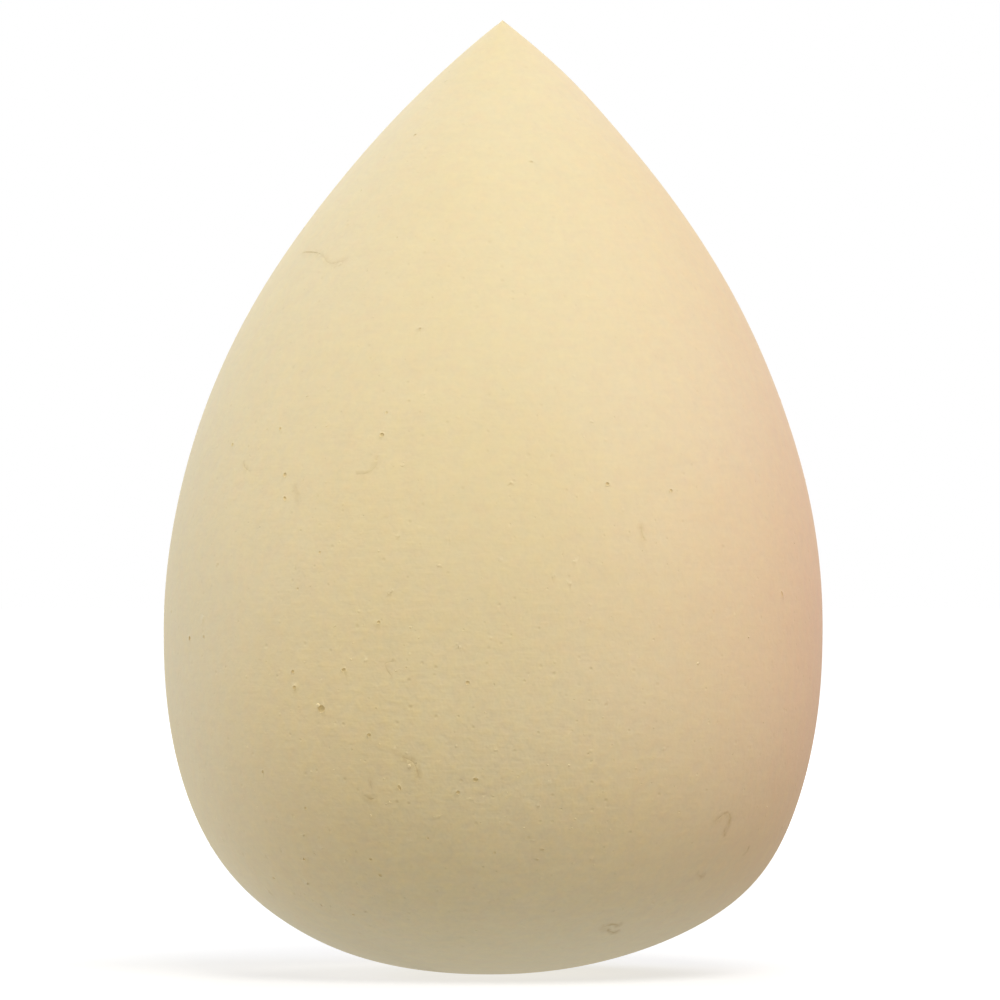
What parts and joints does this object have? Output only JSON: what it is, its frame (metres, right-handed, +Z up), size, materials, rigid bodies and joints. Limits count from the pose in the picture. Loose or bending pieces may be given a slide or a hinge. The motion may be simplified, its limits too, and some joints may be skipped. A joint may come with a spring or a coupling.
{
  "type": "makeup sponge",
  "caption": "Drop-shaped makeup sponge of soft matte ivory foam, with a pointed tip over a round belly and a small resting flat.",
  "frame": {"origin": "centre of the resting flat, at the lowest point of the sponge", "axes": "+Z up along the sponge's axis, from the resting flat to the tip; the sponge is round about Z, and -Y faces the viewer of the picture"},
  "size_m": [0.0415, 0.0414, 0.06],
  "materials": {
    "foam": "matte"
  },
  "bodies": {
    "root": {"foam_body": "foam"}
  },
  "joints": []
}
